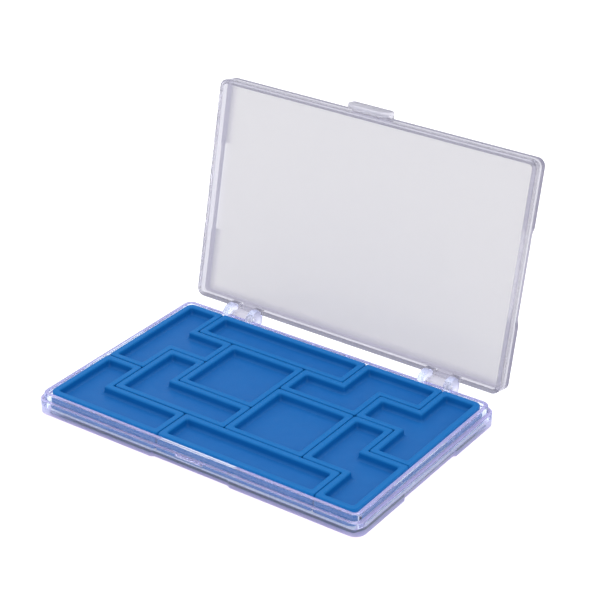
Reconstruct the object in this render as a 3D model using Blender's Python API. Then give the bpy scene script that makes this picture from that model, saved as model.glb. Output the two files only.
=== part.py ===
"""Pocket carry case: a clear hinged box with ten blue four-cell trays nested in it.

Frame: metres, +Z up, origin at the middle of the base's underside, +Y towards the hinge.
Each tray covers four cells of an eight by five lattice. The lid is shown open at its stop.
"""

import math

import bmesh
import bpy

MM = 0.001

# Lattice of the trays
CELL = 12.0 * MM
COLUMNS = 8
ROWS = 5

# Trays
TRAY_GAP = 0.3 * MM  # between two neighbouring trays
TRAY_HEIGHT = 4.5 * MM
RIM_WIDTH = 1.85 * MM
POCKET_DEPTH = 2.2 * MM
TRAY_CORNER = 0.7 * MM
NOTCH_CORNER = 0.25 * MM  # inward corners, less than the gap, so the tray nested there slides past
SET_CORNER = 2.0 * MM  # the four outermost corners of the whole set
POCKET_CORNER = 0.6 * MM

# Base
SET_CLEARANCE = 0.35 * MM  # trays to the wall round them
WALL = 1.25 * MM
FLOOR = 1.1 * MM
WALL_TOP = 5.7 * MM
LEDGE_TOP = 3.9 * MM
LEDGE_SIDE = 1.15 * MM  # how far the ledge stands out left and right of the wall
LEDGE_END = 0.8 * MM  # and in front of and behind it
WALL_CORNER = 2.3 * MM
FLOOR_GAP = 0.3 * MM  # trays to the floor

# Finger recesses low on the base and high on the lid
BASE_RECESS_LENGTH = 24.0 * MM
BASE_RECESS_HEIGHT = 2.0 * MM
BASE_RECESS_DEPTH = 0.6 * MM
LID_RECESS_LENGTH = 25.0 * MM
LID_RECESS_HEIGHT = 2.2 * MM
LID_RECESS_DEPTH = 0.4 * MM

# Lid
LID_HEIGHT = 5.15 * MM
LID_PLATE = 1.3 * MM
PARTING_GAP = 0.3 * MM  # lid rim over the wall's top
OPEN_ANGLE = math.radians(102.0)

# Hinges: two cheeks on the base hold a tongue of the lid between them
HINGE_SPREAD = 32.2 * MM  # middle of the case to the middle of a hinge
HINGE_WIDTH = 9.8 * MM  # over both cheeks
CHEEK = 1.9 * MM
CHEEK_RADIUS = 3.1 * MM
HINGE_GAP = 0.3 * MM
AXIS_BEHIND_LID = 1.8 * MM
AXIS_BELOW_RIM = 1.26 * MM
TONGUE_RADIUS = 1.45 * MM
TONGUE_ROOT = 3.4 * MM  # how high the tongue is joined to the lid's rear skirt
PIN_RADIUS = 0.75 * MM
PIN_LENGTH = 1.1 * MM
PIN_CLEARANCE = 0.2 * MM
HEEL_DROP = 1.2 * MM  # the flat that meets the wall behind when the lid is open

# Latch
LATCH_WIDTH = 12.6 * MM
LATCH_THICKNESS = 1.3 * MM
LATCH_DROP = 3.7 * MM  # below the lid's rim
CATCH_WIDTH = 8.6 * MM
CATCH_DEPTH = 0.5 * MM
CATCH_HEIGHT = 0.8 * MM
CATCH_BELOW_LEDGE = 0.1 * MM
NIB_HEIGHT = 0.8 * MM
NIB_DEPTH = 0.3 * MM
SNAP_GAP = 0.2 * MM  # nib to catch

OVERLAP = 0.5 * MM  # how far joined shapes run into each other
ARC_STEPS = 6

# Cells as (column from the left, row from the hinge)
TRAYS = {
    "tray_tee_left": [(0, 0), (0, 1), (0, 2), (1, 1)],
    "tray_bar_back": [(1, 0), (2, 0), (3, 0), (4, 0)],
    "tray_square_left": [(2, 1), (3, 1), (2, 2), (3, 2)],
    "tray_zigzag_back": [(5, 0), (6, 0), (4, 1), (5, 1)],
    "tray_tee_right": [(7, 0), (7, 1), (7, 2), (6, 1)],
    "tray_square_right": [(4, 2), (5, 2), (4, 3), (5, 3)],
    "tray_ell_middle": [(1, 2), (1, 3), (2, 3), (3, 3)],
    "tray_ell_front": [(0, 3), (0, 4), (1, 4), (2, 4)],
    "tray_bar_front": [(3, 4), (4, 4), (5, 4), (6, 4)],
    "tray_zigzag_right": [(6, 2), (6, 3), (7, 3), (7, 4)],
}

# Worked out from the values above
SET_X = COLUMNS * CELL / 2
SET_Y = ROWS * CELL / 2
INNER_X = SET_X + SET_CLEARANCE
INNER_Y = SET_Y + SET_CLEARANCE
WALL_X = INNER_X + WALL
WALL_Y = INNER_Y + WALL
LEDGE_X = WALL_X + LEDGE_SIDE
LEDGE_Y = WALL_Y + LEDGE_END
TRAY_BOTTOM = FLOOR + FLOOR_GAP
TRAY_TOP = TRAY_BOTTOM + TRAY_HEIGHT
RIM_Z = WALL_TOP + PARTING_GAP
LID_TOP = RIM_Z + LID_HEIGHT
AXIS_Y = WALL_Y + AXIS_BEHIND_LID
AXIS_Z = RIM_Z - AXIS_BELOW_RIM
TONGUE_HALF = HINGE_WIDTH / 2 - CHEEK - HINGE_GAP


def clear_scene():
    for obj in list(bpy.data.objects):
        bpy.data.objects.remove(obj)


def material(name, color, roughness, transmission=0.0, ior=1.5):
    made = bpy.data.materials.new(name)
    made.use_nodes = True
    shader = made.node_tree.nodes["Principled BSDF"]
    shader.inputs["Base Color"].default_value = (*color, 1.0)
    shader.inputs["Roughness"].default_value = roughness
    shader.inputs["Metallic"].default_value = 0.0
    shader.inputs["Transmission Weight"].default_value = transmission
    shader.inputs["IOR"].default_value = ior
    return made


def arc(cx, cy, radius, start, end, steps=ARC_STEPS):
    """Points on an arc, angles in degrees, both ends included."""
    angles = [math.radians(start + (end - start) * i / steps) for i in range(steps + 1)]
    return [(cx + radius * math.cos(a), cy + radius * math.sin(a)) for a in angles]


def rounded_rectangle(half_x, half_y, radius):
    """Anticlockwise outline round the origin."""
    x, y = half_x - radius, half_y - radius
    points = []
    for cx, cy, start in ((x, y, 0), (-x, y, 90), (-x, -y, 180), (x, -y, 270)):
        points += arc(cx, cy, radius, start, start + 90)
    return points


def rectangle(x0, x1, y0, y1):
    return [(x0, y0), (x1, y0), (x1, y1), (x0, y1)]


def solid(name, outline, low, high, axis="Z"):
    """The outline pushed from low to high, along Z, or along X with the outline in Y and Z."""
    place = (lambda u, v, w: (u, v, w)) if axis == "Z" else (lambda u, v, w: (w, u, v))
    mesh = bpy.data.meshes.new(name)
    shape = bmesh.new()
    face = shape.faces.new([shape.verts.new(place(u, v, low)) for u, v in outline])
    pushed = bmesh.ops.extrude_face_region(shape, geom=[face])
    tops = [v for v in pushed["geom"] if isinstance(v, bmesh.types.BMVert)]
    bmesh.ops.translate(shape, verts=tops, vec=place(0, 0, high - low))
    bmesh.ops.recalc_face_normals(shape, faces=shape.faces)
    shape.to_mesh(mesh)
    shape.free()
    obj = bpy.data.objects.new(name, mesh)
    bpy.context.scene.collection.objects.link(obj)
    return obj


def apply_boolean(body, helper, operation):
    """Adds the helper to the body or takes it away; the helper stays in the scene as a guide."""
    helper.hide_render = True
    helper.display_type = "WIRE"
    change = body.modifiers.new(helper.name, "BOOLEAN")
    change.operation = operation
    change.solver = "EXACT"
    change.object = helper


def add(body, helper):
    apply_boolean(body, helper, "UNION")


def cut(body, helper):
    apply_boolean(body, helper, "DIFFERENCE")


def hinge_places():
    return [("left", -HINGE_SPREAD), ("right", HINGE_SPREAD)]


def cheek_spans(middle):
    """The two cheeks of a hinge, each from its low x to its high x."""
    half = HINGE_WIDTH / 2
    return [(middle - half, middle - half + CHEEK), (middle + half - CHEEK, middle + half)]


def build_base(clear):
    base = solid("base", rounded_rectangle(LEDGE_X, LEDGE_Y, WALL_CORNER + LEDGE_END), 0, LEDGE_TOP)
    wall = rounded_rectangle(WALL_X, WALL_Y, WALL_CORNER)
    add(base, solid("guide_wall", wall, LEDGE_TOP - OVERLAP, WALL_TOP))
    inner = rounded_rectangle(INNER_X, INNER_Y, WALL_CORNER - WALL)
    cut(base, solid("guide_inside", inner, FLOOR, WALL_TOP + OVERLAP))

    half = BASE_RECESS_LENGTH / 2
    recesses = {
        "front": rectangle(-half, half, -LEDGE_Y - OVERLAP, -LEDGE_Y + BASE_RECESS_DEPTH),
        "left": rectangle(-LEDGE_X - OVERLAP, -LEDGE_X + BASE_RECESS_DEPTH, -half, half),
        "right": rectangle(LEDGE_X - BASE_RECESS_DEPTH, LEDGE_X + OVERLAP, -half, half),
    }
    for side, outline in recesses.items():
        cut(base, solid("guide_recess_" + side, outline, -OVERLAP, BASE_RECESS_HEIGHT))

    top = LEDGE_TOP - CATCH_BELOW_LEDGE
    out = LEDGE_Y + CATCH_DEPTH
    rib = [
        (-LEDGE_Y + OVERLAP, top - CATCH_HEIGHT),
        (-LEDGE_Y + OVERLAP, top),
        (-out + CATCH_DEPTH / 2, top),
        (-out, top - CATCH_HEIGHT / 2),
        (-out + CATCH_DEPTH / 2, top - CATCH_HEIGHT),
    ]
    add(base, solid("guide_catch", rib, -CATCH_WIDTH / 2, CATCH_WIDTH / 2, "X"))

    for side, middle in hinge_places():
        build_cheeks(base, side, middle)
    finish(base, clear)
    return base


def build_cheeks(base, side, middle):
    """Room behind the wall for the tongue, then the two cheeks and the sockets for its pins."""
    sweep = math.hypot(AXIS_BEHIND_LID - HINGE_GAP, HEEL_DROP) + HINGE_GAP
    half = HINGE_WIDTH / 2 - CHEEK
    room = rectangle(WALL_Y, LEDGE_Y + OVERLAP, AXIS_Z - sweep, LEDGE_TOP + OVERLAP)
    cut(base, solid("guide_room_" + side, room, middle - half, middle + half, "X"))
    front = math.degrees(math.acos((AXIS_Y - INNER_Y - HINGE_GAP) / CHEEK_RADIUS))
    outline = arc(AXIS_Y, AXIS_Z, CHEEK_RADIUS, 0, 180 - front, 2 * ARC_STEPS)
    outline += [(INNER_Y + HINGE_GAP, 0), (AXIS_Y + CHEEK_RADIUS / 2, 0)]
    outline += arc(AXIS_Y, AXIS_Z, CHEEK_RADIUS, -40, -10, 2)
    for number, (low, high) in enumerate(cheek_spans(middle)):
        name = f"{side}_{number}"
        add(base, solid("guide_cheek_" + name, outline, low, high, "X"))
    socket = arc(AXIS_Y, AXIS_Z, PIN_RADIUS + PIN_CLEARANCE, 0, 330, 11)
    reach = TONGUE_HALF + PIN_LENGTH + PIN_CLEARANCE
    cut(base, solid("guide_socket_" + side, socket, middle - reach, middle + reach, "X"))


def build_lid(clear):
    """Modelled closed, with its origin on the hinge axis, and then turned open."""
    skirt = rounded_rectangle(WALL_X, WALL_Y, WALL_CORNER)
    lid = solid("lid", skirt, RIM_Z, LID_TOP)
    inner = rounded_rectangle(INNER_X, INNER_Y, WALL_CORNER - WALL)
    helpers = [solid("guide_lid_inside", inner, RIM_Z - OVERLAP, LID_TOP - LID_PLATE)]
    cut(lid, helpers[0])

    half = LID_RECESS_LENGTH / 2
    edge = WALL_X - LID_RECESS_DEPTH
    for side, low, high in (("left", -WALL_X - OVERLAP, -edge), ("right", edge, WALL_X + OVERLAP)):
        outline = rectangle(low, high, -half, half)
        recess = solid("guide_lid_recess_" + side, outline, LID_TOP - LID_RECESS_HEIGHT, LID_TOP + OVERLAP)
        cut(lid, recess)
        helpers.append(recess)

    for side, middle in hinge_places():
        helpers += build_tongue(lid, side, middle)
    helpers.append(build_latch(lid))

    for obj in [lid] + helpers:
        for vertex in obj.data.vertices:
            vertex.co.y -= AXIS_Y
            vertex.co.z -= AXIS_Z
        obj.location = (0, AXIS_Y, AXIS_Z)
        obj.rotation_euler = (-OPEN_ANGLE, 0, 0)
    finish(lid, clear)
    return lid


def build_tongue(lid, side, middle):
    """Slots in the rear skirt that clear the cheeks, then the tongue and its two pins."""
    clear_radius = CHEEK_RADIUS + HINGE_GAP
    slot_top = AXIS_Z + math.sqrt(clear_radius**2 - AXIS_BEHIND_LID**2)
    made = []
    for number, (low, high) in enumerate(cheek_spans(middle)):
        outline = rectangle(INNER_Y - OVERLAP, WALL_Y + OVERLAP, RIM_Z - OVERLAP, slot_top)
        name = f"guide_slot_{side}_{number}"
        made.append(solid(name, outline, low - HINGE_GAP, high + HINGE_GAP, "X"))
        cut(lid, made[-1])

    # The heel's flat lies along the wall when the lid is open, so it is drawn turned by that angle.
    stop = AXIS_BEHIND_LID - HINGE_GAP
    turned = []
    for along, up in ((-stop, 0), (-stop, -HEEL_DROP), (-0.2 * stop, -HEEL_DROP - 0.2 * stop)):
        cos, sin = math.cos(OPEN_ANGLE), math.sin(OPEN_ANGLE)
        turned.append((AXIS_Y + along * cos - up * sin, AXIS_Z + along * sin + up * cos))
    root = RIM_Z + TONGUE_ROOT
    outline = [(WALL_Y - OVERLAP, RIM_Z), (AXIS_Y - TONGUE_RADIUS, RIM_Z)]
    outline += arc(AXIS_Y, AXIS_Z, TONGUE_RADIUS, 180, 258)
    outline += turned
    outline += [(AXIS_Y + TONGUE_RADIUS, AXIS_Z + TONGUE_RADIUS), (WALL_Y, root), (WALL_Y - OVERLAP, root)]
    made.append(solid("guide_tongue_" + side, outline, middle - TONGUE_HALF, middle + TONGUE_HALF, "X"))
    add(lid, made[-1])
    pin = arc(AXIS_Y, AXIS_Z, PIN_RADIUS, 0, 330, 11)
    reach = TONGUE_HALF + PIN_LENGTH
    made.append(solid("guide_pin_" + side, pin, middle - reach, middle + reach, "X"))
    add(lid, made[-1])
    return made


def build_latch(lid):
    """A shelf in front of the skirt with an arm down over the catch, and a nib under it."""
    nib = -LEDGE_Y - CATCH_DEPTH - SNAP_GAP
    inner = nib - NIB_DEPTH
    front = inner - LATCH_THICKNESS
    bottom = RIM_Z - LATCH_DROP
    outline = [
        (-WALL_Y + OVERLAP, RIM_Z),
        (-WALL_Y + OVERLAP, RIM_Z + LATCH_THICKNESS),
        (inner, RIM_Z + LATCH_THICKNESS),
        (front, RIM_Z),
        (front, bottom),
        (inner, bottom),
        (nib, bottom + NIB_HEIGHT / 2),
        (inner, bottom + NIB_HEIGHT),
        (inner, RIM_Z),
    ]
    latch = solid("guide_latch", outline, -LATCH_WIDTH / 2, LATCH_WIDTH / 2, "X")
    add(lid, latch)
    return latch


def boundary(cells):
    """Anticlockwise corners of the cells' outline, in lattice steps, +Y towards the hinge."""
    filled = {(column, ROWS - 1 - row) for column, row in cells}
    steps = {}
    for x, y in filled:
        sides = (
            ((x, y), (x + 1, y), (x, y - 1)),
            ((x + 1, y), (x + 1, y + 1), (x + 1, y)),
            ((x + 1, y + 1), (x, y + 1), (x, y + 1)),
            ((x, y + 1), (x, y), (x - 1, y)),
        )
        steps.update({start: end for start, end, beyond in sides if beyond not in filled})
    here = min(steps)
    loop = [here]
    while steps[here] != loop[0]:
        here = steps[here]
        loop.append(here)
    size = len(loop)
    return [p for i, p in enumerate(loop) if not straight(loop[i - 1], p, loop[(i + 1) % size])]


def straight(before, here, after):
    return (here[0] - before[0]) * (after[1] - here[1]) == (here[1] - before[1]) * (after[0] - here[0])


def tray_outline(cells, inset, corner):
    """The cells' outline moved in by inset, each corner an arc of the radius that corner() gives."""
    loop = boundary(cells)
    points = []
    for i, (x, y) in enumerate(loop):
        before, after = loop[i - 1], loop[(i + 1) % len(loop)]
        came = unit(x - before[0], y - before[1])
        goes = unit(after[0] - x, after[1] - y)
        turn = came[0] * goes[1] - came[1] * goes[0]
        px = x * CELL - SET_X - inset * (came[1] + goes[1])
        py = y * CELL - SET_Y + inset * (came[0] + goes[0])
        radius = corner((x, y), turn)
        cx = px + radius * (goes[0] - came[0])
        cy = py + radius * (goes[1] - came[1])
        start = math.degrees(math.atan2(-goes[1], -goes[0]))
        points += arc(cx, cy, radius, start, start + 90 * turn, ARC_STEPS // 2)
    return points


def unit(x, y):
    length = math.hypot(x, y)
    return x / length, y / length


def outer_corner(place, turn):
    if turn < 0:
        return NOTCH_CORNER
    at_corner = place[0] in (0, COLUMNS) and place[1] in (0, ROWS)
    return SET_CORNER if at_corner else TRAY_CORNER


def pocket_corner(_place, _turn):
    return POCKET_CORNER


def build_tray(name, cells, blue):
    tray = solid(name, tray_outline(cells, TRAY_GAP / 2, outer_corner), TRAY_BOTTOM, TRAY_TOP)
    pocket = tray_outline(cells, TRAY_GAP / 2 + RIM_WIDTH, pocket_corner)
    cut(tray, solid("guide_pocket_" + name, pocket, TRAY_TOP - POCKET_DEPTH, TRAY_TOP + OVERLAP))
    finish(tray, blue)
    return tray


def finish(obj, look):
    obj.data.materials.append(look)
    obj.data.shade_smooth()
    obj.data.set_sharp_from_angle(angle=math.radians(30))


def main():
    clear_scene()
    clear = material("clear_plastic", (0.93, 0.93, 0.97), 0.04, transmission=1.0, ior=1.59)
    blue = material("blue_plastic", (0.013, 0.18, 0.5), 0.5)
    build_base(clear)
    build_lid(clear)
    for name, cells in TRAYS.items():
        build_tray(name, cells, blue)
    bpy.context.view_layer.update()


main()
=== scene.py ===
"""Looks of the pocket carry case: a clear hinged box with ten blue four-cell trays.

Every new piece is a surface worked out with numpy, in metres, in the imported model's frame:
+Z up, origin at the middle of the base's underside, +Y towards the hinge.
"""

import math

import bpy
import numpy as np
from mathutils import Matrix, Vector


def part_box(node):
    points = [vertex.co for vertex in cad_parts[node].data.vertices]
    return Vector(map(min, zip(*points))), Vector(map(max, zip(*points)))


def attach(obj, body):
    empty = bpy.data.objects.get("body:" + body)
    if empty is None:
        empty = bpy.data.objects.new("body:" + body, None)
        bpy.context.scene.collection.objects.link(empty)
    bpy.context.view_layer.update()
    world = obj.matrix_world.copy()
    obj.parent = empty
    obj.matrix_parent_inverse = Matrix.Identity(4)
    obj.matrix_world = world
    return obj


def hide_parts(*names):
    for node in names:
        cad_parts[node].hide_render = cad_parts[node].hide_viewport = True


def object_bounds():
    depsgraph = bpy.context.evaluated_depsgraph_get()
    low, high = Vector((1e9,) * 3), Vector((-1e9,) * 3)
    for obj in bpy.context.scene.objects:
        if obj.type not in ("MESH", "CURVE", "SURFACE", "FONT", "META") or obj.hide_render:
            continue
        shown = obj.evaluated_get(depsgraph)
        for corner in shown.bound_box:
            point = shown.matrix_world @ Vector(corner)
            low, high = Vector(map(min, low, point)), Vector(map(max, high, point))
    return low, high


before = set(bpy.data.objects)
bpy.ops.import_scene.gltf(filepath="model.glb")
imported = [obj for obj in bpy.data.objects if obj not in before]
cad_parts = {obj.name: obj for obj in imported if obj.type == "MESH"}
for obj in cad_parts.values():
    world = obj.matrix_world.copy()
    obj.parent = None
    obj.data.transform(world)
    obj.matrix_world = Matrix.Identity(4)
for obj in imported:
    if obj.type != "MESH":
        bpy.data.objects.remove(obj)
cad_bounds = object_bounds()

MM = 0.001

# Lattice of the trays
CELL = 12.0
COLUMNS = 8
ROWS = 5
TRAY_CELLS = {
    "tee_left": [(0, 0), (0, 1), (0, 2), (1, 1)],
    "bar_back": [(1, 0), (2, 0), (3, 0), (4, 0)],
    "square_left": [(2, 1), (3, 1), (2, 2), (3, 2)],
    "zigzag_back": [(5, 0), (6, 0), (4, 1), (5, 1)],
    "tee_right": [(7, 0), (7, 1), (7, 2), (6, 1)],
    "square_right": [(4, 2), (5, 2), (4, 3), (5, 3)],
    "ell_middle": [(1, 2), (1, 3), (2, 3), (3, 3)],
    "ell_front": [(0, 3), (0, 4), (1, 4), (2, 4)],
    "bar_front": [(3, 4), (4, 4), (5, 4), (6, 4)],
    "zigzag_right": [(6, 2), (6, 3), (7, 3), (7, 4)],
}

# Trays, in millimetres as are all sizes here
TRAY_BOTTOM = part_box("tray_bar_back")[0][2] / MM
TRAY_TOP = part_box("tray_bar_back")[1][2] / MM
POCKET_FLOOR = TRAY_TOP - 2.2
TRAY_INSET = 0.08  # from the lattice line to a tray's wall
RIM = 1.85
TRAY_CORNER = 0.7
NOTCH_CORNER = 0.25
SET_CORNER = 2.0  # the four outermost corners of the whole set
POCKET_CORNER = 0.6
TRAY_SHIFTS = {"bar_back": (0.0, 0.1), "zigzag_back": (0.03, 0.08), "ell_front": (-0.05, -0.08)}

# Base
SET_CLEARANCE = 0.35
INNER_X = COLUMNS * CELL / 2 + SET_CLEARANCE
INNER_Y = ROWS * CELL / 2 + SET_CLEARANCE
INNER_CORNER = 1.05
WALL = 1.25
WALL_TOP = 5.7
LEDGE_TOP = 3.9
LEDGE_OUT_X = WALL + 1.15
LEDGE_OUT_Y = WALL + 0.8
BASE_FLOOR = 1.1
WALL_Y = INNER_Y + WALL
LEDGE_Y = INNER_Y + LEDGE_OUT_Y
FROST_START = -0.8  # outset at which the underside's frosting begins

# Lid, as it lies when shut
GAP = 0.3
RIM_Z = WALL_TOP + GAP
LID_TOP = RIM_Z + 5.15
PLATE = 1.3
OPEN_ANGLE = math.radians(102.0)

# Finger recesses
BASE_RECESS_HALF = 12.0
BASE_RECESS_TOP = 2.0
BASE_RECESS_DEPTH = 0.6
LID_RECESS_HALF = 12.5
LID_RECESS_FOOT = LID_TOP - 2.2
LID_RECESS_DEPTH = 0.4

# Hinges
AXIS_Y = WALL_Y + 1.8
AXIS_Z = RIM_Z - 1.26
HINGE_SPREAD = 32.2
HINGE_MIDDLES = (-HINGE_SPREAD, HINGE_SPREAD)
HINGE_HALF = 4.9
CHEEK = 1.9
CHEEK_RADIUS = 3.1
HEEL_DROP = 1.2
TONGUE_HALF = HINGE_HALF - CHEEK - GAP
TONGUE_RADIUS = 1.45
TONGUE_ROOT = 3.4
PIN_RADIUS = 0.75
PIN_LENGTH = 1.1
PIN_CLEARANCE = 0.2

# Latch and catch
LATCH_HALF = 6.3
LATCH_THICKNESS = 1.3
LATCH_DROP = 3.7
LATCH_CORNER = 2.2
LATCH_EDGE = 0.4
CATCH_HALF = 4.1
CATCH_DEPTH = 0.5
CATCH_SWELL = 0.42
SNAP_GAP = 0.2
NIB_DEPTH = 0.3

OVERLAP = 0.5  # how far joined shapes run into each other

# Colours that the clear plastic passes on: its plain faces, then what each stored mask picks out; edge is
# painted shade, dark lines along rounded edges where bent light darkens them
BASE_TINTS = {
    "wall": (0.97, 0.985, 1.0),
    "frosted": (0.90, 0.86, 0.97),
    # edge: painted shade, dark lines along the ledge's rounded edges
    "edge": (0.30, 0.36, 0.48),
}
LID_TINTS = {
    "wall": (0.66, 0.655, 0.68),
    "plate": (0.61, 0.602, 0.605),
    "frosted": (0.70, 0.69, 0.73),
    # edge: painted shade, dark lines along the lid's rounded edges and the plate's side
    "edge": (0.22, 0.21, 0.28),
}


# ---------------------------------------------------------------- profiles and outlines


def rounded_profile(corners, radii, steps=4):
    """An open line of corners (n, 2) with each inner corner replaced by an arc that touches both sides.

    The arc of corner k starts a length L = radius * tan(turn / 2) before it and ends L after it, and
    its points are corner-start, turned evenly about the arc's centre.
    """
    corners = np.asarray(corners, float)
    points = [corners[:1]]
    for before, here, after, radius in zip(corners[:-2], corners[1:-1], corners[2:], radii):
        came = (here - before) / np.linalg.norm(here - before)
        goes = (after - here) / np.linalg.norm(after - here)
        turn = math.atan2(came[0] * goes[1] - came[1] * goes[0], came @ goes)
        length = radius * math.tan(abs(turn) / 2)
        start = here - came * length
        side = np.array([-came[1], came[0]]) * math.copysign(1.0, turn)
        centre = start + side * radius
        angles = np.linspace(0, turn, steps + 1)
        spoke = start - centre
        turned = np.stack(
            [
                spoke[0] * np.cos(angles) - spoke[1] * np.sin(angles),
                spoke[0] * np.sin(angles) + spoke[1] * np.cos(angles),
            ],
            axis=1,
        )
        points.append(centre + turned)
    points.append(corners[-1:])
    return np.concatenate(points)


def smooth_step(value, low, high):
    """0 below low, 1 above high, and 3t^2 - 2t^3 between them."""
    t = np.clip((value - low) / (high - low), 0, 1)
    return t * t * (3 - 2 * t)


def case_rings(profile, stations, steps=12):
    """A profile carried round the case's rounded rectangle: an array (rings, points, 3) in millimetres.

    profile is (outset, height) for each ring. The rectangle's half sizes grow with the outset, and
    faster in X than in Y beyond the wall, as the ledge does; its corner radius grows with the Y outset.
    stations gives, for each side, the places along it where a point is put, the same on all rings.
    """
    out, z = profile[:, 0], profile[:, 1]
    beyond = np.maximum(out - WALL, 0) * (LEDGE_OUT_Y - WALL) / (LEDGE_OUT_X - WALL)
    out_y = np.minimum(out, WALL) + beyond
    half_x, half_y = INNER_X + out, INNER_Y + out_y
    radius = np.maximum(INNER_CORNER + out_y, 0.3)
    corner_x, corner_y = half_x - radius, half_y - radius
    columns = []
    for name, (sign_x, sign_y), start in (
        ("right", (1, 1), 0.0),
        ("back", (-1, 1), 0.5 * math.pi),
        ("left", (-1, -1), math.pi),
        ("front", (1, -1), 1.5 * math.pi),
    ):
        way = 1 if name in ("right", "front") else -1
        for along in np.sort(stations[name]) * way:
            if name in ("right", "left"):
                columns.append((half_x * way, along + 0 * z))
            else:
                columns.append((along + 0 * z, half_y * (1 if name == "back" else -1)))
        for angle in start + np.linspace(0, 0.5 * math.pi, steps + 1):
            columns.append(
                (
                    sign_x * corner_x + radius * math.cos(angle),
                    sign_y * corner_y + radius * math.sin(angle),
                )
            )
    x = np.stack([c[0] for c in columns], axis=1)
    y = np.stack([c[1] for c in columns], axis=1)
    return np.stack([x, y, np.broadcast_to(z[:, None], x.shape)], axis=2)


def ring_faces(rings, points):
    """Quads between neighbouring rings, with a flat face over the first ring and the last."""
    t, s = np.meshgrid(np.arange(rings - 1), np.arange(points), indexing="ij")
    n = (s + 1) % points
    above = (t + 1) * points
    quads = np.stack([t * points + s, t * points + n, above + n, above + s], axis=2)
    caps = [np.arange(points)[::-1].tolist(), (np.arange(points) + (rings - 1) * points).tolist()]
    return quads.reshape(-1, 4).tolist() + caps


def piece_from(name, points_mm, faces):
    """An object at the origin from points in millimetres."""
    mesh = bpy.data.meshes.new(name)
    mesh.from_pydata((np.asarray(points_mm).reshape(-1, 3) * MM).tolist(), [], faces)
    mesh.validate()
    piece = bpy.data.objects.new(name, mesh)
    bpy.context.scene.collection.objects.link(piece)
    return piece


def outline_inset(outline, inset):
    """A closed anticlockwise outline (n, 2) moved in by inset along each corner's bisector."""
    before = outline - np.roll(outline, 1, axis=0)
    after = np.roll(outline, -1, axis=0) - outline
    before /= np.linalg.norm(before, axis=1, keepdims=True)
    after /= np.linalg.norm(after, axis=1, keepdims=True)
    normal = np.stack([-(before + after)[:, 1], (before + after)[:, 0]], axis=1)
    normal /= np.linalg.norm(normal, axis=1, keepdims=True)
    cosine = np.clip((normal * np.stack([-after[:, 1], after[:, 0]], axis=1)).sum(axis=1), 0.5, 1)
    return outline + normal * (inset / cosine)[:, None]


def rounded_bar(name, outline, low, high, edge, steps=3):
    """An outline in (Y, Z) carried along X from low to high, with its two ends rounded off by edge.

    At angle a of the end's quarter circle the outline is moved in by edge * (1 - cos a) and lies
    edge * (1 - sin a) from the end.
    """
    outline = np.asarray(outline, float)
    angles = np.linspace(0.5 * math.pi, 0, steps + 1) if edge else np.zeros(1)
    rings = []
    for sign, order in ((1, angles), (-1, angles[::-1])):
        for a in order:
            inset = edge * (1 - math.cos(a)) if edge else 0.0
            shape = outline_inset(outline, inset)
            end = low + edge * (1 - math.sin(a)) if sign > 0 else high - edge * (1 - math.sin(a))
            rings.append(np.column_stack([np.full(len(shape), end), shape]))
    rings = np.array(rings)
    return piece_from(name, rings, ring_faces(len(rings), rings.shape[1]))


def arc(cy, cz, radius, start, end, steps):
    """Points on a circle round (cy, cz), from one angle in degrees to another."""
    a = np.radians(np.linspace(start, end, steps + 1))
    return np.stack([cy + radius * np.cos(a), cz + radius * np.sin(a)], axis=1)


def join_solid(body, helper, operation):
    """Runs a Boolean of the helper on the body and removes the helper."""
    change = body.modifiers.new("join", "BOOLEAN")
    change.operation = operation
    change.solver = "EXACT"
    change.object = helper
    graph = bpy.context.evaluated_depsgraph_get()
    mesh = bpy.data.meshes.new_from_object(body.evaluated_get(graph))
    body.modifiers.clear()
    body.data = mesh
    bpy.data.objects.remove(helper)


def points_of(piece):
    """The piece's points in metres, an array (n, 3)."""
    points = np.empty(len(piece.data.vertices) * 3)
    piece.data.vertices.foreach_get("co", points)
    return points.reshape(-1, 3)


def finish_piece(piece, body, look):
    """Gives the piece its look and smooth shading, and puts it on a body in place of that body's node."""
    piece.data.materials.clear()
    piece.data.materials.append(look)
    piece.data.shade_smooth()
    piece.data.set_sharp_from_angle(angle=math.radians(40))
    even = piece.modifiers.new("even shading", "WEIGHTED_NORMAL")
    even.keep_sharp = True
    even.weight = 60
    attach(piece, body)
    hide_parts(body)


# ---------------------------------------------------------------- base


def side_stations(half, recessed, soft):
    """Places along each side, closely spaced where a finger recess begins and ends."""
    near = half + np.linspace(-soft, soft, 9)
    plain = np.array([-20.0, -8.0, -4.0, -2.0, 0.0, 2.0, 4.0, 8.0, 20.0])
    dense = np.concatenate([plain, near, -near])
    sides = ("right", "back", "left", "front")
    return {side: dense if side in recessed else plain for side in sides}


def press_recess(rings, outside, half, low, high, depth, soft):
    """Pushes the rings in by depth over a recess: a smooth step along the side times one in height.

    outside lists the recessed sides as (axis it faces, sign, axis along it).
    """
    z = rings[..., 2]
    ease = 0.25
    side_band = 3.2
    tall = smooth_step(z, low - ease, low + ease) * (1 - smooth_step(z, high - ease, high + ease))
    pushed = rings.copy()
    for axis, sign, along in outside:
        away = np.abs(rings[..., axis])
        facing = (np.sign(rings[..., axis]) == sign) & (away > away.max() - side_band)
        mask = (1 - smooth_step(np.abs(rings[..., along]), half - soft, half + soft)) * tall
        pushed[..., axis] -= sign * depth * mask * facing
    return pushed


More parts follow.
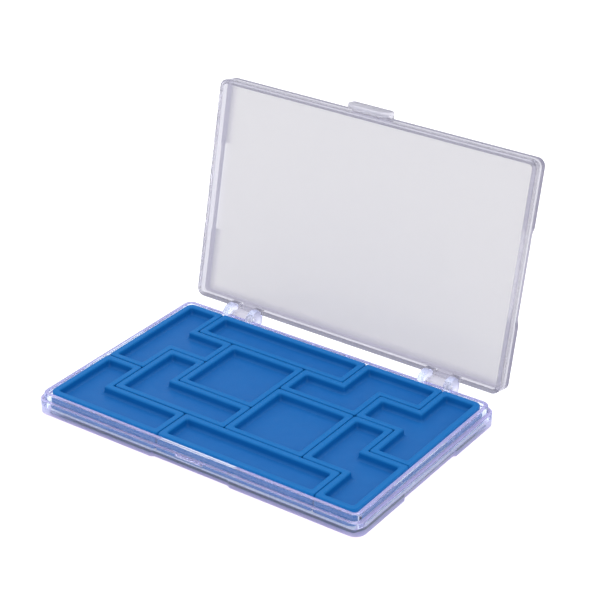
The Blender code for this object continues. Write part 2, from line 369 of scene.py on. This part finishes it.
def make_base(look, underside_look):
    """The floor, wall and ledge as one carried profile, with three finger recesses, a catch and cheeks."""
    profile = rounded_profile(
        [
            (-6.0, 0.0),
            (LEDGE_OUT_X, 0.0),
            (LEDGE_OUT_X, LEDGE_TOP),
            (WALL, LEDGE_TOP),
            (WALL, WALL_TOP),
            (0.0, WALL_TOP),
            (0.0, BASE_FLOOR),
            (-6.0, BASE_FLOOR),
        ],
        [0.2, 0.3, 0.2, 0.28, 0.28, 0.15],
    )
    profile = np.insert(profile, 1, (FROST_START, 0.0), axis=0)
    at_recess = np.linspace(BASE_RECESS_TOP - 0.3, BASE_RECESS_TOP + 0.3, 7)
    at_catch = np.linspace(2.7, 3.5, 9)
    levels = np.concatenate([at_recess, at_catch])
    side = np.column_stack([np.full(len(levels), LEDGE_OUT_X), levels])
    edge_start = int(np.argmax(profile[:, 1] > 3.0))
    profile = np.concatenate([profile[:edge_start], side, profile[edge_start:]])
    rings = case_rings(profile, base_stations())

    below_edge = np.arange(len(profile)) < edge_start + len(side) + 2
    outer = (profile[:, 0] > WALL + 0.05) & below_edge
    sides = ((1, -1, 0), (0, -1, 1), (0, 1, 1))
    below = -9.0
    deep = press_recess(
        rings, sides, BASE_RECESS_HALF, below, BASE_RECESS_TOP, BASE_RECESS_DEPTH, soft=0.4
    )
    rings = np.where(outer[:, None, None], deep, rings)
    swell_catch(rings, outer)
    base = piece_from("case_base", rings, ring_faces(len(rings), rings.shape[1]))

    for middle in HINGE_MIDDLES:
        add_cheeks(base, middle)
    points = points_of(base) / MM
    underside = 0.7 * (1 - smooth_step(points[:, 2], 0.02, 0.25))
    lug = 0.8 * smooth_step(points[:, 1], WALL_Y, LEDGE_Y) * near_hinge(points)
    set_mask(base, "frosted", np.maximum(underside, lug))
    # Painted shade: dark lines tinted along the ledge's top edge and its bottom edge
    painted_shade_edges = [(WALL, LEDGE_TOP, 0.3), (LEDGE_OUT_X, 0.0, 0.4)]
    set_mask(base, "edge", 0.7 * corner_mask(points, painted_shade_edges))
    finish_piece(base, "base", look)
    frost_underside(base, underside_look)


def frost_underside(base, underside_look):
    """Gives the ledge's low faces that look down, from FROST_START outwards, the second look."""
    base.data.materials.append(underside_look)
    faces = base.data.polygons
    down = np.array([face.normal.z for face in faces]) < -0.3
    middles = np.array([face.center for face in faces]) / MM
    frosted = down & (middles[:, 2] < 0.25) & (outset(middles) > FROST_START)
    faces.foreach_set("material_index", frosted.astype(np.int32))


def near_hinge(points_mm):
    """1 for points within a hinge's width, 0 elsewhere."""
    return (np.abs(np.abs(points_mm[:, 0]) - HINGE_SPREAD) < HINGE_HALF + 0.05).astype(float)


def base_stations():
    """The recessed sides' places, with more on the front where the catch's ends fall away."""
    stations = side_stations(BASE_RECESS_HALF, ("left", "right", "front"), 0.5)
    ends = CATCH_HALF + np.linspace(-0.45, 0.45, 7)
    front = stations["front"]
    stations["front"] = np.concatenate([front[np.abs(front) != 4.0], ends, -ends])
    return stations


def swell_catch(rings, outer):
    """Moves the front's rings out by CATCH_SWELL * bump(x) * bump(z), a ridge for the latch to pass."""
    x, y, z = rings[..., 0], rings[..., 1], rings[..., 2]
    wide = 1 - smooth_step(np.abs(x), CATCH_HALF - 0.4, CATCH_HALF + 0.4)
    tall = smooth_step(z, 2.75, 3.2) * (1 - smooth_step(z, 3.4, 3.85))
    front = (y < -LEDGE_Y + 0.3) & outer[:, None]
    rings[..., 1] = np.where(front, y - CATCH_SWELL * wide * tall, y)


def add_cheeks(base, middle):
    """Room for the tongue behind the wall, two rounded cheeks, and the blind sockets for its pins."""
    sweep = math.hypot(AXIS_Y - WALL_Y - GAP, HEEL_DROP) + GAP
    inner = HINGE_HALF - CHEEK
    room = [
        (WALL_Y, AXIS_Z - sweep),
        (LEDGE_Y + OVERLAP, AXIS_Z - sweep),
        (LEDGE_Y + OVERLAP, LEDGE_TOP + OVERLAP),
        (WALL_Y, LEDGE_TOP + OVERLAP),
    ]
    join_solid(base, rounded_bar("room", room, middle - inner, middle + inner, 0.0), "DIFFERENCE")
    front = math.degrees(math.acos((AXIS_Y - INNER_Y - GAP) / CHEEK_RADIUS))
    outline = np.concatenate(
        [
            arc(AXIS_Y, AXIS_Z, CHEEK_RADIUS, 0, 180 - front, 24),
            [(INNER_Y + GAP, 0.05), (AXIS_Y + CHEEK_RADIUS / 2, 0.05)],
            arc(AXIS_Y, AXIS_Z, CHEEK_RADIUS, -40, -8, 4),
        ]
    )
    for low, high in ((-HINGE_HALF, -inner), (inner, HINGE_HALF)):
        join_solid(base, rounded_bar("cheek", outline, middle + low, middle + high, 0.18), "UNION")
    reach = TONGUE_HALF + PIN_LENGTH + PIN_CLEARANCE
    socket = arc(AXIS_Y, AXIS_Z, PIN_RADIUS + PIN_CLEARANCE, 0, 345, 23)
    join_solid(base, rounded_bar("socket", socket, middle - reach, middle + reach, 0.0), "DIFFERENCE")


# ---------------------------------------------------------------- lid


def make_lid(look):
    """The plate and skirt as one carried profile, joined to tongues and latch when shut, then opened.

    Opening turns every point about the hinge axis by OPEN_ANGLE.
    """
    plate_in = LID_TOP - PLATE
    profile = rounded_profile(
        [
            (-1.8, plate_in),
            (0.0, plate_in),
            (0.0, RIM_Z),
            (WALL, RIM_Z),
            (WALL, LID_TOP),
            (-1.8, LID_TOP),
        ],
        [0.45, 0.22, 0.22, 0.3],
    )
    levels = np.linspace(LID_RECESS_FOOT - 0.3, LID_RECESS_FOOT + 0.3, 7)
    side = np.column_stack([np.full(len(levels), WALL), levels])
    on_outside = profile[:, 0] > WALL - 0.01
    outer_start = int(np.argmax(on_outside & (profile[:, 1] > LID_RECESS_FOOT + 0.55)))
    profile = np.concatenate([profile[:outer_start], side, profile[outer_start:]])
    rings = case_rings(profile, side_stations(LID_RECESS_HALF, ("left", "right"), 1.2))

    outer = (np.arange(len(profile)) >= outer_start) & (profile[:, 0] > 0.2)
    sides = ((0, -1, 1), (0, 1, 1))
    above = 20.0
    deep = press_recess(
        rings, sides, LID_RECESS_HALF, LID_RECESS_FOOT, above, LID_RECESS_DEPTH, soft=1.1
    )
    rings = np.where(outer[:, None, None], deep, rings)
    lid = piece_from("case_lid", rings, ring_faces(len(rings), rings.shape[1]))

    for middle in HINGE_MIDDLES:
        add_tongue(lid, middle)
    join_solid(lid, make_latch(), "UNION")

    points = points_of(lid)
    add_lid_masks(lid, points / MM)
    y, z = points[:, 1] - AXIS_Y * MM, points[:, 2] - AXIS_Z * MM
    cos, sin = math.cos(-OPEN_ANGLE), math.sin(-OPEN_ANGLE)
    points[:, 1] = AXIS_Y * MM + y * cos - z * sin
    points[:, 2] = AXIS_Z * MM + y * sin + z * cos
    lid.data.vertices.foreach_set("co", points.ravel())
    lid.data.update()
    finish_piece(lid, "lid", look)


def add_lid_masks(lid, points_mm):
    """Masks stored while the lid is shut, each 0 to 1.

    plate is 1 on the plate's two broad faces. frosted is a part of 1 on the skirt, and more on the
    tongues and the latch. edge marks the rounded edges and the plate's side, for dark lines of painted
    shade there.
    """
    inside_x = smooth_step(INNER_X - np.abs(points_mm[:, 0]), -0.2, 0.6)
    inside_y = smooth_step(INNER_Y - np.abs(points_mm[:, 1]), -0.2, 0.6)
    mask = inside_x * inside_y * (points_mm[:, 2] > LID_TOP - PLATE - 0.1)
    set_mask(lid, "plate", mask)
    tongue = smooth_step(points_mm[:, 1], WALL_Y, WALL_Y + 0.3) * near_hinge(points_mm)
    latch = smooth_step(-points_mm[:, 1], WALL_Y, WALL_Y + 0.3)
    set_mask(lid, "frosted", np.maximum(0.35 * (1 - mask), 0.6 * np.maximum(tongue, latch)))
    # Painted shade: dark lines along the skirt's rounded edges, and a dark band on its outer face next to
    # the plate
    painted_shade_edges = corner_mask(points_mm, [(WALL, LID_TOP, 0.3), (WALL, RIM_Z, 0.22), (0.0, RIM_Z, 0.22)])
    painted_plate_side_shade = smooth_step(outset(points_mm), WALL - 0.55, WALL - 0.4)
    painted_plate_side_shade *= smooth_step(points_mm[:, 2], LID_RECESS_FOOT - 0.05, LID_RECESS_FOOT + 0.25)
    set_mask(lid, "edge", np.maximum(0.6 * painted_shade_edges, painted_plate_side_shade))


def corner_mask(points_mm, corners):
    """1 along the middle of each rounded edge and 0 where its arc ends.

    Each corner is given as (outset, height, radius), and the mask falls from 1 to 0 between 0.45 and
    0.95 radii from it.
    """
    out = outset(points_mm)
    away = [np.hypot(out - o, points_mm[:, 2] - z) / radius for o, z, radius in corners]
    return 1 - smooth_step(np.min(away, axis=0), 0.45, 0.95)


def outset(points_mm):
    """How far each point lies beyond the inner rounded rectangle, below 0 inside it."""
    off_x = np.abs(points_mm[:, 0]) - (INNER_X - INNER_CORNER)
    off_y = np.abs(points_mm[:, 1]) - (INNER_Y - INNER_CORNER)
    around = np.hypot(np.maximum(off_x, 0), np.maximum(off_y, 0))
    return around + np.minimum(np.maximum(off_x, off_y), 0) - INNER_CORNER


def set_mask(piece, name, mask):
    """Stores one number for each point of the piece, for its material to read."""
    made = piece.data.attributes.new(name, "FLOAT", "POINT")
    made.data.foreach_set("value", mask.astype(np.float32))


def add_tongue(lid, middle):
    """Slots in the rear skirt that clear the cheeks, then the tongue with its stop heel and pins."""
    slot_top = AXIS_Z + math.sqrt((CHEEK_RADIUS + GAP) ** 2 - (AXIS_Y - WALL_Y) ** 2)
    slot = [
        (INNER_Y - OVERLAP, RIM_Z - OVERLAP),
        (WALL_Y + OVERLAP, RIM_Z - OVERLAP),
        (WALL_Y + OVERLAP, slot_top),
        (INNER_Y - OVERLAP, slot_top),
    ]
    inner = HINGE_HALF - CHEEK
    for low, high in ((-HINGE_HALF, -inner), (inner, HINGE_HALF)):
        cutter = rounded_bar("slot", slot, middle + low - GAP, middle + high + GAP, 0.0)
        join_solid(lid, cutter, "DIFFERENCE")

    stop = AXIS_Y - WALL_Y - GAP
    cos, sin = math.cos(OPEN_ANGLE), math.sin(OPEN_ANGLE)
    flat = np.array([(-stop, 0), (-stop, -HEEL_DROP), (-0.2 * stop, -HEEL_DROP - 0.2 * stop)])
    heel = np.stack(
        [AXIS_Y + flat[:, 0] * cos - flat[:, 1] * sin, AXIS_Z + flat[:, 0] * sin + flat[:, 1] * cos],
        axis=1,
    )
    root = RIM_Z + TONGUE_ROOT
    outline = np.concatenate(
        [
            [(WALL_Y - OVERLAP, RIM_Z + 0.02), (AXIS_Y - TONGUE_RADIUS, RIM_Z + 0.02)],
            arc(AXIS_Y, AXIS_Z, TONGUE_RADIUS, 180, 258, 8),
            heel,
            [
                (AXIS_Y + TONGUE_RADIUS, AXIS_Z + TONGUE_RADIUS),
                (WALL_Y, root),
                (WALL_Y - OVERLAP, root),
            ],
        ]
    )
    tongue = rounded_bar("tongue", outline, middle - TONGUE_HALF, middle + TONGUE_HALF, 0.12)
    join_solid(lid, tongue, "UNION")
    reach = TONGUE_HALF + PIN_LENGTH
    pin = arc(AXIS_Y, AXIS_Z, PIN_RADIUS, 0, 345, 23)
    join_solid(lid, rounded_bar("pin", pin, middle - reach, middle + reach, 0.1), "UNION")


def make_latch():
    """A shelf in front of the skirt, an arm down over the catch and a nib under it.

    The outline in (Y, Z) is carried along X. Near each end what hangs below the rim is drawn up by
    the share that a quarter circle of radius LATCH_CORNER takes from the arm's length, and the
    outline is moved in by LATCH_EDGE * (1 - cos a) over the last quarter turn.
    """
    nib = -LEDGE_Y - CATCH_DEPTH - SNAP_GAP
    inner = nib - NIB_DEPTH
    front = inner - LATCH_THICKNESS
    bottom = RIM_Z - LATCH_DROP
    root = -WALL_Y + OVERLAP
    outline = np.concatenate(
        [
            [(root, RIM_Z + 0.02), (root, RIM_Z + LATCH_THICKNESS)],
            arc(front + 1.0, RIM_Z + 0.3, 1.0, 90, 180, 6),
            arc(front + 0.4, bottom + 0.4, 0.4, 180, 270, 4),
            [
                (inner - 0.1, bottom),
                (inner, bottom + 0.1),
                (nib, bottom + 0.4),
                (inner, bottom + 0.8),
                (inner, RIM_Z - 0.2),
                (inner + 0.2, RIM_Z + 0.02),
            ],
        ]
    )
    edge_x = LATCH_HALF - LATCH_EDGE * (1 - np.sin(np.linspace(0, 0.5 * math.pi, 6)))
    corner_x = LATCH_HALF - LATCH_CORNER * (1 - np.sin(np.linspace(0, 0.5 * math.pi, 9)))
    stations = np.unique(np.round(np.concatenate([edge_x, corner_x]), 4))
    stations = np.concatenate([-stations[::-1], stations])
    beyond = np.clip(np.abs(stations) - (LATCH_HALF - LATCH_CORNER), 0, LATCH_CORNER)
    drawn_up = LATCH_CORNER - np.sqrt(LATCH_CORNER**2 - (0.98 * beyond) ** 2)
    close = np.clip((np.abs(stations) - (LATCH_HALF - LATCH_EDGE)) / LATCH_EDGE, 0, 1)
    rings = []
    for x, up, near in zip(stations, drawn_up, close):
        shape = outline_inset(outline, LATCH_EDGE * (1 - math.sqrt(1 - (0.999 * near) ** 2)))
        below = np.minimum(shape[:, 1] - RIM_Z, 0)
        shape[:, 1] -= below * up / LATCH_DROP
        rings.append(np.column_stack([np.full(len(shape), x), shape]))
    rings = np.array(rings)
    return piece_from("latch", rings, ring_faces(len(rings), rings.shape[1]))


# ---------------------------------------------------------------- trays


def cell_corners(cells):
    """Corners of the cells' outline, anticlockwise, in lattice steps with +Y towards the hinge."""
    filled = {(column, ROWS - 1 - row) for column, row in cells}
    steps = {}
    for x, y in filled:
        for start, end, beyond in (
            ((x, y), (x + 1, y), (x, y - 1)),
            ((x + 1, y), (x + 1, y + 1), (x + 1, y)),
            ((x + 1, y + 1), (x, y + 1), (x, y + 1)),
            ((x, y + 1), (x, y), (x - 1, y)),
        ):
            if beyond not in filled:
                steps[start] = end
    loop = [min(steps)]
    while steps[loop[-1]] != loop[0]:
        loop.append(steps[loop[-1]])
    loop = np.array(loop, float)
    came = loop - np.roll(loop, 1, axis=0)
    goes = np.roll(loop, -1, axis=0) - loop
    turns = came[:, 0] * goes[:, 1] - came[:, 1] * goes[:, 0]
    return loop[turns != 0]


def make_tray(kind, cells, look):
    """One profile carried round the cells' outline, moved in by the profile's inset, from the underside
    up the outer wall, over the soft rim and down to the pocket's floor.

    A corner of the outline is an arc: its centre lies inset + radius from both sides, and its
    radius goes from the tray's outer corner to the pocket's as the inset grows.
    """
    inner = TRAY_INSET + RIM
    profile = rounded_profile(
        [
            (TRAY_INSET + 1.6, TRAY_BOTTOM),
            (TRAY_INSET, TRAY_BOTTOM),
            (TRAY_INSET, TRAY_TOP),
            (inner - 0.05, TRAY_TOP),
            (inner + 0.06, POCKET_FLOOR),
            (inner + 2.0, POCKET_FLOOR),
        ],
        [0.3, 0.34, 0.6, 0.8],
        steps=5,
    )
    inset, height = profile[:, 0], profile[:, 1]
    loop = cell_corners(cells)
    came = loop - np.roll(loop, 1, axis=0)
    goes = np.roll(loop, -1, axis=0) - loop
    came /= np.linalg.norm(came, axis=1, keepdims=True)
    goes /= np.linalg.norm(goes, axis=1, keepdims=True)
    turn = came[:, 0] * goes[:, 1] - came[:, 1] * goes[:, 0]
    at_set_corner = np.isin(loop[:, 0], (0, COLUMNS)) & np.isin(loop[:, 1], (0, ROWS))
    at_set_corner &= turn > 0
    outer = np.where(at_set_corner, SET_CORNER, np.where(turn < 0, NOTCH_CORNER, TRAY_CORNER))
    share = np.clip((inset - TRAY_INSET) / RIM, 0, 1)
    radius = outer[None, :] * (1 - share[:, None]) + POCKET_CORNER * share[:, None]

    steps = 5
    quarter = np.linspace(0, 0.5 * math.pi, steps + 1)
    start = np.arctan2(-goes[:, 1], -goes[:, 0])
    angles = start[:, None] + turn[:, None] * quarter[None, :]
    half = np.array([COLUMNS * CELL / 2, ROWS * CELL / 2])
    to_centre = goes - came
    inward = np.stack([-(came + goes)[:, 1], (came + goes)[:, 0]], axis=1)
    corner = (loop * CELL - half)[None] + inset[:, None, None] * inward[None]
    centre = corner + radius[..., None] * to_centre[None]
    shift_x, shift_y = TRAY_SHIFTS.get(kind, (0.0, 0.0))
    x = centre[..., 0, None] + radius[..., None] * np.cos(angles)[None] + shift_x
    y = centre[..., 1, None] + radius[..., None] * np.sin(angles)[None] + shift_y
    z = np.broadcast_to(height[:, None, None], x.shape)
    rings = np.stack([x, y, z], axis=3).reshape(len(profile), -1, 3)
    tray = piece_from("blue_" + kind, rings, ring_faces(len(rings), rings.shape[1]))
    finish_piece(tray, "tray_" + kind, look)


# ---------------------------------------------------------------- materials


def node_group(name, inputs, outputs):
    """An empty shader group with its sockets: the group, its input node and its output node."""
    group = bpy.data.node_groups.new(name, "ShaderNodeTree")
    for label, kind, value in inputs:
        socket = group.interface.new_socket(name=label, in_out="INPUT", socket_type=kind)
        socket.default_value = value
    for label, kind in outputs:
        group.interface.new_socket(name=label, in_out="OUTPUT", socket_type=kind)
    return group, group.nodes.new("NodeGroupInput"), group.nodes.new("NodeGroupOutput")


def math_node(tree, operation, *values):
    """A sum on values that are sockets or numbers."""
    node = tree.nodes.new("ShaderNodeMath")
    node.operation = operation
    for socket, value in zip(node.inputs, values):
        if isinstance(value, bpy.types.NodeSocket):
            tree.links.new(value, socket)
        else:
            socket.default_value = value
    return node.outputs[0]


def noise(tree, vector, scale, detail, roughness=0.5):
    """Noise from 0 to 1 at a place."""
    node = tree.nodes.new("ShaderNodeTexNoise")
    for label, value in (("Scale", scale), ("Detail", detail), ("Roughness", roughness)):
        if isinstance(value, bpy.types.NodeSocket):
            tree.links.new(value, node.inputs[label])
        else:
            node.inputs[label].default_value = value
    tree.links.new(vector, node.inputs["Vector"])
    return node.outputs["Fac"]


def moulded_skin_group():
    """Surface of a moulding: slow waves where it cooled, fine grain from the mould, and soft smudges.

    Height is waves plus grain, each centred on 0 and times its own strength. Roughness is the base
    value plus smudges times their strength. Smudge is the mask itself.
    """
    group, given, out = node_group(
        "moulded skin",
        [
            ("Wave scale", "NodeSocketFloat", 60.0),
            ("Wave height", "NodeSocketFloat", 0.5),
            ("Grain scale", "NodeSocketFloat", 3000.0),
            ("Grain height", "NodeSocketFloat", 0.1),
            ("Roughness", "NodeSocketFloat", 0.1),
            ("Smudge strength", "NodeSocketFloat", 0.1),
        ],
        [
            ("Height", "NodeSocketFloat"),
            ("Roughness", "NodeSocketFloat"),
            ("Smudge", "NodeSocketFloat"),
        ],
    )
    place = group.nodes.new("ShaderNodeTexCoord").outputs["Object"]
    waves = noise(group, place, given.outputs["Wave scale"], 1.0)
    grain = noise(group, place, given.outputs["Grain scale"], 3.0)
    smudge = noise(group, place, 140.0, 4.0, 0.6)
    waves = around_zero(group, waves, 0.5, given.outputs["Wave height"])
    grain = around_zero(group, grain, 0.5, given.outputs["Grain height"])
    group.links.new(math_node(group, "ADD", waves, grain), out.inputs["Height"])
    spread = around_zero(group, smudge, 0.45, given.outputs["Smudge strength"])
    rough = math_node(group, "ADD", given.outputs["Roughness"], spread)
    group.links.new(math_node(group, "MAXIMUM", rough, 0.01), out.inputs["Roughness"])
    group.links.new(smudge, out.inputs["Smudge"])
    return group


def around_zero(tree, value, middle, strength):
    """(value - middle) * strength."""
    return math_node(tree, "MULTIPLY", math_node(tree, "SUBTRACT", value, middle), strength)


def new_look(name):
    """A material with its node tree and its main shader."""
    look = bpy.data.materials.new(name)
    look.use_nodes = True
    return look, look.node_tree, look.node_tree.nodes["Principled BSDF"]


def place_group(tree, group, values):
    """A copy of a group in a material, with its inputs set."""
    node = tree.nodes.new("ShaderNodeGroup")
    node.node_tree = group
    for label, value in values.items():
        node.inputs[label].default_value = value
    return node


def bump(tree, shader, height, distance):
    """Tilts the shader's normals by a height mask, scaled to a distance in metres."""
    node = tree.nodes.new("ShaderNodeBump")
    node.inputs["Distance"].default_value = distance
    node.inputs["Strength"].default_value = 1.0
    tree.links.new(height, node.inputs["Height"])
    tree.links.new(node.outputs["Normal"], shader.inputs["Normal"])


def mix_colour(tree, factor, first, second):
    """The first colour where factor is 0 and the second where it is 1."""
    node = tree.nodes.new("ShaderNodeMix")
    node.data_type = "RGBA"
    tree.links.new(factor, node.inputs[0])
    for socket, value in ((node.inputs[6], first), (node.inputs[7], second)):
        if isinstance(value, bpy.types.NodeSocket):
            tree.links.new(value, socket)
        else:
            socket.default_value = (*value, 1.0)
    return node.outputs[2]


def clear_look(name, skin, tints, bend, clarity, absorb_colour, absorb_density):
    """Polished clear plastic: bends light, tints it along long ways through, and lets lamps through.

    clarity is the share of light that goes straight on; the rest is a faint milky haze. Each stored
    mask that tints names moves the colour on from the plain wall's; edge paints shade, and frosted also
    dulls the polish.
    """
    look, tree, shader = new_look(name)
    shader.inputs["Transmission Weight"].default_value = clarity
    shader.inputs["IOR"].default_value = bend
    shader.inputs["Specular IOR Level"].default_value = 0.25
    moulding = place_group(
        tree,
        skin,
        {
            "Wave scale": 45.0,
            "Wave height": 0.6,
            "Grain scale": 900.0,
            "Grain height": 0.01,
            "Roughness": 0.03,
            "Smudge strength": 0.05,
        },
    )
    bump(tree, shader, moulding.outputs["Height"], 0.00004)
    tint = tints["wall"]
    for mask in [label for label in tints if label != "wall"]:
        stored = tree.nodes.new("ShaderNodeAttribute")
        stored.attribute_name = mask
        tint = mix_colour(tree, stored.outputs["Fac"], tint, tints[mask])
        if mask == "frosted":
            dull = math_node(tree, "MULTIPLY", stored.outputs["Fac"], 0.6)
            rough = math_node(tree, "MAXIMUM", moulding.outputs["Roughness"], dull)
            tree.links.new(rough, shader.inputs["Roughness"])
    tree.links.new(tint, shader.inputs["Base Color"])

    inside = tree.nodes.new("ShaderNodeVolumeAbsorption")
    inside.inputs["Color"].default_value = (*absorb_colour, 1.0)
    inside.inputs["Density"].default_value = absorb_density
    output = tree.nodes["Material Output"]
    tree.links.new(inside.outputs[0], output.inputs["Volume"])

    path = tree.nodes.new("ShaderNodeLightPath")
    through = tree.nodes.new("ShaderNodeBsdfTransparent")
    through.inputs["Color"].default_value = (0.93, 0.93, 0.96, 1.0)
    choose = tree.nodes.new("ShaderNodeMixShader")
    lamps = math_node(tree, "MAXIMUM", path.outputs["Is Shadow Ray"], path.outputs["Is Diffuse Ray"])
    tree.links.new(lamps, choose.inputs[0])
    tree.links.new(shader.outputs[0], choose.inputs[1])
    tree.links.new(through.outputs[0], choose.inputs[2])
    tree.links.new(choose.outputs[0], output.inputs["Surface"])
    return look


def frosted_look(skin):
    """The ledge's underside, finely textured in the mould: it scatters violet and passes some light."""
    look, tree, shader = new_look("frosted underside")
    shader.inputs["Transmission Weight"].default_value = 0.4
    shader.inputs["IOR"].default_value = 1.47
    shader.inputs["Specular IOR Level"].default_value = 0.25
    moulding = place_group(
        tree,
        skin,
        {
            "Wave scale": 45.0,
            "Wave height": 0.3,
            "Grain scale": 2500.0,
            "Grain height": 0.3,
            "Roughness": 0.6,
            "Smudge strength": 0.1,
        },
    )
    bump(tree, shader, moulding.outputs["Height"], 0.00004)
    tree.links.new(moulding.outputs["Roughness"], shader.inputs["Roughness"])
    tint = mix_colour(tree, moulding.outputs["Smudge"], (0.79, 0.62, 0.86), (0.85, 0.69, 0.91))
    tree.links.new(tint, shader.inputs["Base Color"])
    return look


def blue_look(skin):
    """Satin blue plastic, greener and lighter on the rims than down on the pocket floors: painted
    highlight on the rims, painted shade in the pockets.
    """
    look, tree, shader = new_look("blue_plastic")
    shader.inputs["IOR"].default_value = 1.46
    shader.inputs["Specular IOR Level"].default_value = 0.17
    moulding = place_group(
        tree,
        skin,
        {
            "Wave scale": 220.0,
            "Wave height": 0.5,
            "Grain scale": 5200.0,
            "Grain height": 0.35,
            "Roughness": 0.46,
            "Smudge strength": 0.22,
        },
    )
    tree.links.new(moulding.outputs["Roughness"], shader.inputs["Roughness"])
    bump(tree, shader, moulding.outputs["Height"], 0.00006)

    # Painted light: lighter and greener at the rim tops, darker and more violet down at the pocket floors
    split = tree.nodes.new("ShaderNodeSeparateXYZ")
    coordinates = tree.nodes.new("ShaderNodeTexCoord")
    tree.links.new(coordinates.outputs["Object"], split.inputs[0])
    painted_light_by_height = tree.nodes.new("ShaderNodeMapRange")
    painted_light_by_height.inputs["From Min"].default_value = (POCKET_FLOOR + 0.1) * MM
    painted_light_by_height.inputs["From Max"].default_value = (TRAY_TOP - 0.2) * MM
    tree.links.new(split.outputs["Z"], painted_light_by_height.inputs["Value"])
    colour = mix_colour(tree, painted_light_by_height.outputs["Result"], (0.005, 0.124, 0.405), (0.001, 0.146, 0.445))
    patchy = noise(tree, coordinates.outputs["Object"], 260.0, 3.0)
    paler = tree.nodes.new("ShaderNodeMapRange")
    paler.inputs["From Min"].default_value = 0.35
    paler.inputs["From Max"].default_value = 0.75
    paler.inputs["To Max"].default_value = 0.08
    tree.links.new(patchy, paler.inputs["Value"])
    colour = mix_colour(tree, paler.outputs["Result"], colour, (0.02, 0.22, 0.60))
    tree.links.new(colour, shader.inputs["Base Color"])
    return look


# ---------------------------------------------------------------- studio


def make_studio():
    """White paper, a world that is greyer near the horizon, and three soft boxes."""
    floor = bpy.data.meshes.new("floor")
    reach = 6.0
    z = cad_bounds[0][2] - 0.2 * MM
    corners = [(-reach, -reach, z), (reach, -reach, z), (reach, reach, z), (-reach, reach, z)]
    floor.from_pydata(corners, [], [(0, 1, 2, 3)])
    paper = bpy.data.objects.new("floor", floor)
    bpy.context.scene.collection.objects.link(paper)
    look, _tree, shader = new_look("white paper")
    shader.inputs["Base Color"].default_value = (0.93, 0.93, 0.935, 1.0)
    shader.inputs["Roughness"].default_value = 0.9
    shader.inputs["Specular IOR Level"].default_value = 0.1
    shader.inputs["Emission Color"].default_value = (1.0, 1.0, 1.0, 1.0)
    shader.inputs["Emission Strength"].default_value = 0.34
    floor.materials.append(look)

    world = bpy.data.worlds.new("studio")
    world.use_nodes = True
    tree = world.node_tree
    sky = tree.nodes["Background"]
    sky.inputs["Strength"].default_value = 0.9
    split = tree.nodes.new("ShaderNodeSeparateXYZ")
    tree.links.new(tree.nodes.new("ShaderNodeTexCoord").outputs["Generated"], split.inputs[0])
    height = tree.nodes.new("ShaderNodeMapRange")
    height.inputs["From Min"].default_value = 0.0
    height.inputs["From Max"].default_value = 0.32
    tree.links.new(split.outputs["Z"], height.inputs["Value"])
    shade = mix_colour(tree, height.outputs["Result"], (0.50, 0.53, 0.62), (0.93, 0.93, 0.96))
    tree.links.new(shade, sky.inputs["Color"])
    bpy.context.scene.world = world

    soft_box("overhead", (-0.10, 0.25, 0.75), 0.8, 2.7)
    soft_box("side", (-0.75, -0.35, 0.45), 0.5, 0.6)
    soft_box("fill", (0.55, -0.70, 0.55), 0.6, 0.9)


def soft_box(name, place, size, power):
    """A square lamp that faces the origin."""
    lamp = bpy.data.lights.new(name, "AREA")
    lamp.shape = "SQUARE"
    lamp.size = size
    lamp.energy = power
    box = bpy.data.objects.new(name, lamp)
    back = np.array(place) / np.linalg.norm(place)
    right = np.cross((0, 0, 1), back)
    right /= np.linalg.norm(right)
    box.matrix_world = turned(right, np.cross(back, right), back, place)
    bpy.context.scene.collection.objects.link(box)


def turned(right, up, back, place):
    """A matrix whose columns are the given three directions and place."""
    matrix = np.eye(4)
    matrix[:3, 0], matrix[:3, 1], matrix[:3, 2], matrix[:3, 3] = right, up, back, place
    return Matrix(matrix.tolist())


def make_camera():
    """A long lens above the right front corner, with a trace of roll."""
    azimuth, elevation, roll = math.radians(34.91), math.radians(27.97), math.radians(0.185)
    right = np.array([math.cos(azimuth), math.sin(azimuth), 0.0])
    back = np.array(
        [
            math.sin(azimuth) * math.cos(elevation),
            -math.cos(azimuth) * math.cos(elevation),
            math.sin(elevation),
        ]
    )
    up = np.cross(back, right)
    data = bpy.data.cameras.new("camera")
    data.sensor_width = 36.0
    data.lens = 112.35
    data.clip_start = 0.01
    camera = bpy.data.objects.new("camera", data)
    camera.matrix_world = turned(
        math.cos(roll) * right + math.sin(roll) * up,
        -math.sin(roll) * right + math.cos(roll) * up,
        back,
        (0.24683, -0.33800, 0.25677),
    )
    bpy.context.scene.collection.objects.link(camera)
    bpy.context.scene.camera = camera
    bpy.context.scene.view_settings.view_transform = "Standard"


def main():
    """Looks first, then the pieces, then the studio and the camera."""
    skin = moulded_skin_group()
    clear_base = clear_look(
        "clear plastic of the base",
        skin,
        BASE_TINTS,
        bend=1.47,
        clarity=0.985,
        absorb_colour=(0.55, 0.74, 0.96),
        absorb_density=90.0,
    )
    clear_lid = clear_look(
        "clear plastic of the lid",
        skin,
        LID_TINTS,
        bend=1.18,
        clarity=0.82,
        absorb_colour=(0.72, 0.71, 0.86),
        absorb_density=60.0,
    )
    blue = blue_look(skin)
    make_base(clear_base, frosted_look(skin))
    make_lid(clear_lid)
    for kind, cells in TRAY_CELLS.items():
        make_tray(kind, cells, blue)
    make_studio()
    make_camera()


main()
